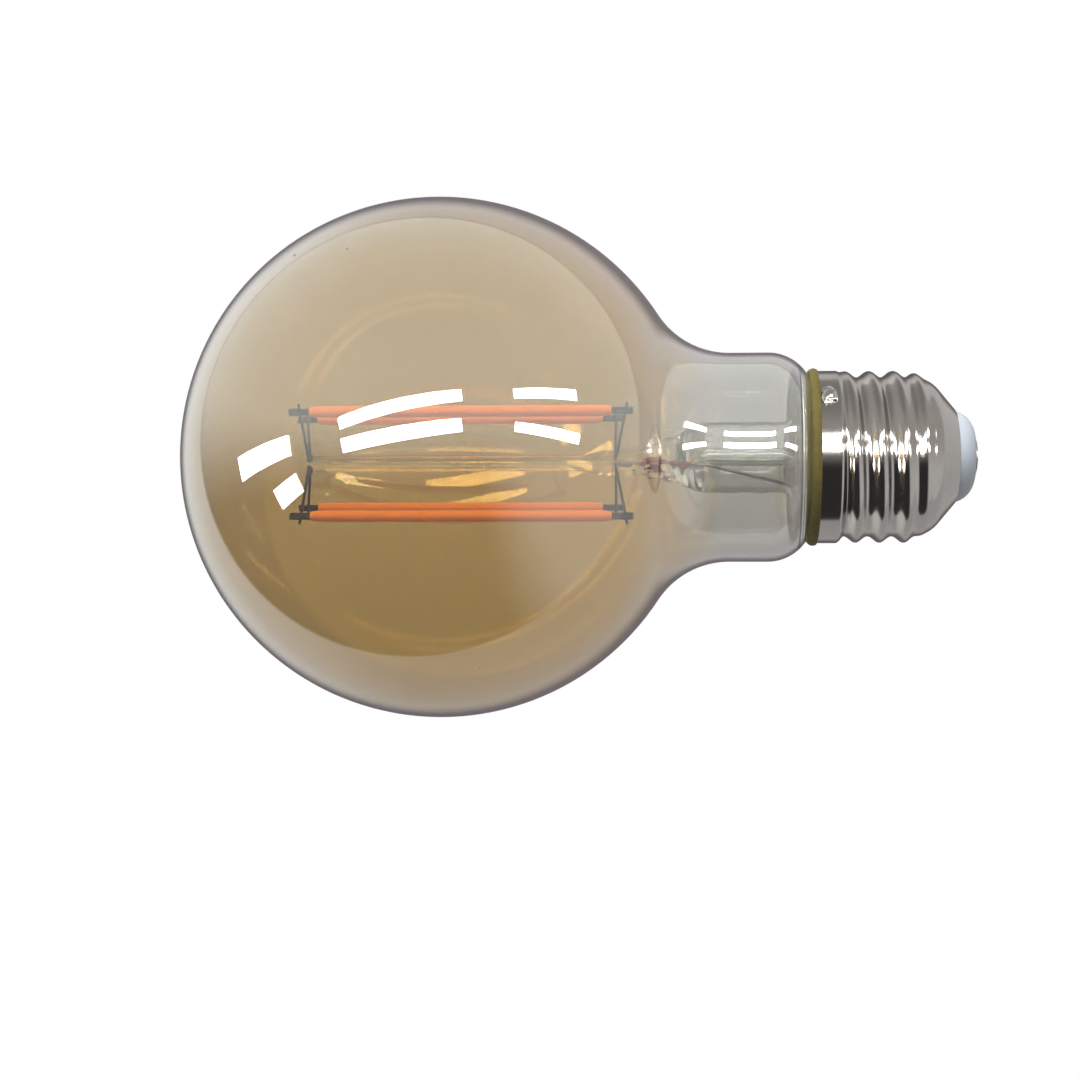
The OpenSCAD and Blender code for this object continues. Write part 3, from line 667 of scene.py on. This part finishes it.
def build_cap():
    """Rolled cap: rings from the hole's edge to the rim, with the thread's wave worked in."""
    tree, given = new_tree("rolled_cap", (
        "Foot Z", "Rim Z", "Skirt Z", "Round Z", "Tangent Z", "Hole radius", "Cone slope", "Round X",
        "Rounding", "Root radius", "Crest radius", "Skirt radius", "Pitch", "First root Z", "Fade low",
        "Fade high", "Thread low Z"), "Metal")

    def less(one, two):
        return maths(tree, "SUBTRACT", one, two)

    sheet = {"Size X": 1.0, "Size Y": 1.0, "Vertices X": 220, "Vertices Y": 193}
    grid = node(tree, "GeometryNodeMeshGrid", sheet).outputs[0]
    place = node(tree, "GeometryNodeInputPosition").outputs[0]
    flat = node(tree, "ShaderNodeSeparateXYZ", {0: place}).outputs
    along = maths(tree, "ADD", flat[0], 0.5)
    turn = maths(tree, "MULTIPLY", maths(tree, "ADD", flat[1], 0.5), 2 * math.pi)
    z = maths(tree, "MULTIPLY_ADD", along, less(given["Rim Z"], given["Foot Z"]), given["Foot Z"])

    # The plain outline: a cone, a rounding, and the straight wall at the thread's roots
    drop = maths(tree, "MAXIMUM", less(given["Round Z"], z), 0.0)
    rise = less(maths(tree, "POWER", given["Rounding"], 2.0), maths(tree, "POWER", drop, 2.0))
    bulge = maths(tree, "SQRT", maths(tree, "MAXIMUM", rise, 0.0))
    rounded = maths(tree, "ADD", given["Round X"], bulge)
    slope = maths(tree, "TANGENT", given["Cone slope"])
    out = maths(tree, "DIVIDE", less(z, given["Foot Z"]), slope)
    cone = maths(tree, "ADD", given["Hole radius"], out)
    on_cone = maths(tree, "LESS_THAN", z, given["Tangent Z"])
    base = node(tree, "ShaderNodeMix", {0: on_cone, 2: rounded, 3: cone}).outputs[0]

    # The thread rises from its roots to its crests, and runs out at both ends
    full = maths(tree, "ADD", given["Thread low Z"], given["Fade low"])
    low = fade(tree, z, given["Thread low Z"], full)
    high = fade(tree, z, less(given["Skirt Z"], given["Fade high"]), given["Skirt Z"])
    pitches = maths(tree, "DIVIDE", less(z, given["First root Z"]), given["Pitch"])
    phase = maths(tree, "MULTIPLY", pitches, 2 * math.pi)
    swing = maths(tree, "COSINE", less(phase, turn))
    wave = maths(tree, "MULTIPLY_ADD", swing, -0.5, 0.5)
    depth = less(given["Crest radius"], given["Root radius"])
    root_step = less(given["Skirt radius"], given["Root radius"])
    crest_step = less(given["Skirt radius"], given["Crest radius"])
    root = maths(tree, "MULTIPLY_ADD", root_step, high, base)
    raised = maths(tree, "MULTIPLY_ADD", depth, low, base)
    crest = maths(tree, "ADD", raised, maths(tree, "MULTIPLY", crest_step, high))
    radius = maths(tree, "MULTIPLY_ADD", less(crest, root), wave, root)
    x = maths(tree, "MULTIPLY", radius, maths(tree, "COSINE", turn))
    y = maths(tree, "MULTIPLY", radius, maths(tree, "SINE", turn))
    shaped = {"Geometry": grid, "Position": point(tree, x, y, z)}
    rolled = node(tree, "GeometryNodeSetPosition", shaped).outputs[0]
    welded = node(tree, "GeometryNodeMergeByDistance", {"Geometry": rolled, "Distance": 1e-6}).outputs[0]
    close_tree(tree, welded, given["Metal"])
    return tree


crest_r = 13.07 * MM
root_r = 12.12 * MM
cap_wall = 0.3 * MM
cap_round = 5 * MM
cone_slope = math.radians(40)
hole_r = 7.2 * MM
hole_z = cap_box[0].z
skirt_z = rim_z - 2.8 * MM
round_x = root_r - cap_round
tangent_z = hole_z + (round_x + cap_round * math.sin(cone_slope) - hole_r) * math.tan(cone_slope)
round_z = tangent_z + cap_round * math.cos(cone_slope)
cap_mesh = grown("rolled_cap", build_cap(), {
    "Foot Z": hole_z,
    "Rim Z": rim_z,
    "Skirt Z": skirt_z,
    "Round Z": round_z,
    "Tangent Z": tangent_z,
    "Hole radius": hole_r,
    "Cone slope": cone_slope,
    "Round X": round_x,
    "Rounding": cap_round,
    "Root radius": root_r,
    "Crest radius": crest_r,
    "Skirt radius": cap_r,
    "Pitch": 3.629 * MM,
    "First root Z": skirt_z - 3.2 * MM,
    "Fade low": 3 * MM,
    "Fade high": 1.4 * MM,
    "Thread low Z": round_z - 2.3 * MM,
    "Metal": MATERIALS["plated_cap"]}, wall=cap_wall)
cap_shape = bmesh.new()
cap_shape.from_mesh(cap_mesh)
cap_mesh = finished(cap_mesh, cap_shape, 60)
piece("rolled_cap", cap_mesh, MATERIALS["plated_cap"], ["cap_shell"])


def weld_nugget():
    """Lumpy drop of weld on the skirt, where the side joint stands."""
    low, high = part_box("side_joint")
    middle = (low + high) / 2
    out = Vector((middle.x, middle.y, 0)).normalized()
    across = Vector((-out.y, out.x, 0))
    centre = out * cap_r + Vector((0, 0, middle.z))
    made = bmesh.new()
    bmesh.ops.create_icosphere(made, subdivisions=5, radius=1.0)
    for vertex in made.verts:
        way = vertex.co.copy()
        lump = 1 + 0.34 * noise.noise(way * 1.7 + Vector((3.1, 0.4, 1.9)))
        lump += 0.10 * noise.noise(way * 4.5)
        reach = across * way.x * 1.55 + out * way.y * 0.75 + Vector((0, 0, way.z * 1.35))
        vertex.co = centre + lump * MM * reach
    return finished(bpy.data.meshes.new("weld_nugget"), made, 80)


piece("weld_nugget", weld_nugget(), MATERIALS["solder"], ["side_joint"])


# ---- Camera, world and lights ----

def aimed(location, target, right):
    """Matrix of an object at location whose -Z looks at target, with its X near right."""
    back = (Vector(location) - Vector(target)).normalized()
    across = (Vector(right) - Vector(right).dot(back) * back).normalized()
    upward = back.cross(across)
    turn = Matrix((across, upward, back)).transposed().to_4x4()
    return Matrix.Translation(location) @ turn


camera = bpy.data.objects.new("camera", bpy.data.cameras.new("camera"))
camera.data.lens = 60.42
camera.data.sensor_width = 36
camera.data.clip_start = 0.01
camera.matrix_world = aimed((0, -0.280, 0.045), (-0.01267, 0, 0.06634), (0, 0, -1))
scene.collection.objects.link(camera)
scene.camera = camera


# The studio seen in gloss: a room on the camera's side, and pale paper beyond the bulb
ROOM_AXIS = Vector((math.sin(math.radians(17)), -math.cos(math.radians(17)), 0.16)).normalized()
# Cosines from that axis between which the room gives way to the paper
ROOM_EDGE = (-0.345, -0.315)
ROOM_HIGH = (1.90, 2.05, 1.90, 1.0)
ROOM_LOW, ROOM_END = grey(0.04), grey(0.70)
# Its levels for gloss that is not seen through glass, and for that gloss far towards +X
ROOM_CAP, ROOM_CAP_FAR = (0.52, 0.495, 0.48, 1.0), (0.32, 0.31, 0.305, 1.0)
PAPER_LOW, PAPER_CAP, PAPER_HIGH = grey(0.34), grey(0.50), grey(0.72)
CROWN_SIDE = (1.66, 1.70, 1.64, 1.0)
LIMB = (0.16, 0.13, 0.14, 1.0)
# What is seen through the glass, and what lights the rest
BACKDROP_LOW, BACKDROP_HIGH = grey(0.52), grey(0.92)
SOFT_LOW, SOFT_HIGH = grey(0.24), grey(0.40)


def build_world():
    """White round the bulb, a grey backdrop through its glass, and a studio in its gloss."""
    world = bpy.data.worlds.new("studio")
    world.use_nodes = True
    tree = world.node_tree
    tree.nodes.clear()
    path = node(tree, "ShaderNodeLightPath").outputs
    glossy = maths(tree, "GREATER_THAN", path["Glossy Depth"], 0.5)
    through = maths(tree, "GREATER_THAN", path["Transmission Depth"], 0.5)
    straight_on = maths(tree, "SUBTRACT", 1.0, through)
    way = node(tree, "ShaderNodeTexCoord").outputs["Generated"]
    x, y, z = node(tree, "ShaderNodeSeparateXYZ", {0: way}).outputs
    axis = {0: way, 1: ROOM_AXIS}
    behind = node(tree, "ShaderNodeVectorMath", axis, operation="DOT_PRODUCT").outputs["Value"]

    cap_side = mixed(tree, fade(tree, x, 0.6, 1.0), ROOM_CAP, ROOM_CAP_FAR)
    bright = mixed(tree, straight_on, ROOM_HIGH, cap_side)
    dim = mixed(tree, fade(tree, z, -0.35, -0.80), ROOM_LOW, ROOM_END)
    room = mixed(tree, fade(tree, x, -0.25, 0.30), dim, bright)

    low_paper = mixed(tree, straight_on, PAPER_LOW, PAPER_CAP)
    paper = mixed(tree, fade(tree, x, -0.8, 0.6), low_paper, PAPER_HIGH)
    lift = mixed(tree, fade(tree, z, 0.1, 0.7), grey(1.0), CROWN_SIDE)
    paper = mixed(tree, 1.0, paper, lift, "MULTIPLY")
    paper = mixed(tree, fade(tree, y, 0.74, 0.92), paper, LIMB)

    studio = mixed(tree, fade(tree, behind, *ROOM_EDGE), paper, room)
    backdrop = mixed(tree, fade(tree, x, -0.18, 0.18), BACKDROP_LOW, BACKDROP_HIGH)
    soft = mixed(tree, fade(tree, x, -0.8, 0.8), SOFT_LOW, SOFT_HIGH)
    seen = mixed(tree, through, soft, backdrop)
    seen = mixed(tree, glossy, seen, studio)
    seen = mixed(tree, path["Is Camera Ray"], seen, grey(1.0))
    shader = node(tree, "ShaderNodeBackground", {"Color": seen, "Strength": 1.0}).outputs[0]
    node(tree, "ShaderNodeOutputWorld", {0: shader})
    scene.world = world


build_world()


def mirrored(across, up, reach):
    """Place that the camera sees mirrored in the globe's near face, at a distance from it.

    The camera looks past (across, up), in globe radii from the globe's middle: across runs
    from the crown to the cap and up towards +X.
    """
    middle = Vector((0, 0, globe_z))
    eye = camera.matrix_world.translation
    sight = (middle + globe_r * Vector((up, 0, -across)) - eye).normalized()
    nearest = (middle - eye).dot(sight)
    aside = (middle - eye).length_squared - nearest ** 2
    place = eye + sight * (nearest - math.sqrt(globe_r ** 2 - aside))
    return place + sight.reflect((place - middle).normalized()) * reach


STRIP_REACH = 0.7
STRIP_STRENGTH = 25
# Share of a strip's light that is left for rays that have been through glass
STRIP_THROUGH = 0.55


def strip_light(name, start, end, thickness):
    """Bright bar that shows only in gloss, from one place on the globe to another."""
    one, two = (mirrored(*place, STRIP_REACH) for place in (start, end))
    lamp = bpy.data.lights.new(name, "AREA")
    lamp.shape = "RECTANGLE"
    lamp.size = (two - one).length
    lamp.size_y = thickness
    lamp.energy = 1.0
    lamp.use_nodes = True
    tree = lamp.node_tree
    path = node(tree, "ShaderNodeLightPath").outputs
    glossy = maths(tree, "GREATER_THAN", path["Glossy Depth"], 0.5)
    through = maths(tree, "GREATER_THAN", path["Transmission Depth"], 0.5)
    share = maths(tree, "MULTIPLY_ADD", through, STRIP_THROUGH - 1.0, 1.0)
    shown = maths(tree, "MULTIPLY", glossy, share)
    # An area lamp spreads its power over its face and over a half ball
    emission = tree.nodes["Emission"]
    level = STRIP_STRENGTH * lamp.size * lamp.size_y * math.pi
    tree.links.new(maths(tree, "MULTIPLY", shown, level), emission.inputs["Strength"])
    obj = bpy.data.objects.new(name, lamp)
    obj.visible_camera = False
    obj.visible_diffuse = False
    obj.matrix_world = aimed((one + two) / 2, (0, 0, globe_z), two - one)
    scene.collection.objects.link(obj)


strip_light("strip_upper", (-0.407, 0.138), (0.077, 0.246), 0.060)
strip_light("strip_lower", (-0.396, 0.050), (0.077, 0.131), 0.070)
strip_light("strip_cap_upper", (0.281, 0.250), (0.523, 0.242), 0.050)
strip_light("strip_cap_lower", (0.285, 0.123), (0.534, 0.073), 0.050)
strip_light("strip_crown_upper", (-0.800, -0.042), (-0.604, 0.054), 0.09)
strip_light("strip_crown_lower", (-0.650, -0.161), (-0.565, -0.092), 0.09)

key = bpy.data.lights.new("soft_key", "AREA")
key.shape = "DISK"
key.size = 0.4
key.energy = 4.8
key_light = bpy.data.objects.new("soft_key", key)
key_light.visible_camera = False
key_light.visible_glossy = False
key_light.visible_transmission = False
key_light.matrix_world = aimed((0.55, -0.35, 0.10), (0, 0, 0.06), (0, 0, 1))
scene.collection.objects.link(key_light)


def build_floor():
    """Pale floor below the bulb, white to the camera and clear to every other ray."""
    half, z = 0.6, -0.10
    corners = [(-half, -half, z), (half, -half, z), (half, half, z), (-half, half, z)]
    mesh = bpy.data.meshes.new("floor")
    mesh.from_pydata(corners, [], [(0, 1, 2, 3)])
    pale = bpy.data.materials.new("pale_floor")
    pale.use_nodes = True
    tree = pale.node_tree
    tree.nodes.clear()
    direct = node(tree, "ShaderNodeLightPath").outputs["Is Camera Ray"]
    back = node(tree, "ShaderNodeNewGeometry").outputs["Backfacing"]
    seen = maths(tree, "MULTIPLY", direct, maths(tree, "SUBTRACT", 1.0, back))
    clear = node(tree, "ShaderNodeBsdfTransparent").outputs[0]
    white = node(tree, "ShaderNodeEmission", {"Color": grey(1.0), "Strength": 1.0}).outputs[0]
    shown = node(tree, "ShaderNodeMixShader", {0: seen, 1: clear, 2: white}).outputs[0]
    node(tree, "ShaderNodeOutputMaterial", {0: shown})
    mesh.materials.append(pale)
    obj = bpy.data.objects.new("floor", mesh)
    scene.collection.objects.link(obj)


build_floor()
scene.view_settings.view_transform = "Standard"
scene.cycles.max_bounces = 24
scene.cycles.transmission_bounces = 24
scene.cycles.glossy_bounces = 6
scene.cycles.sample_clamp_indirect = 0
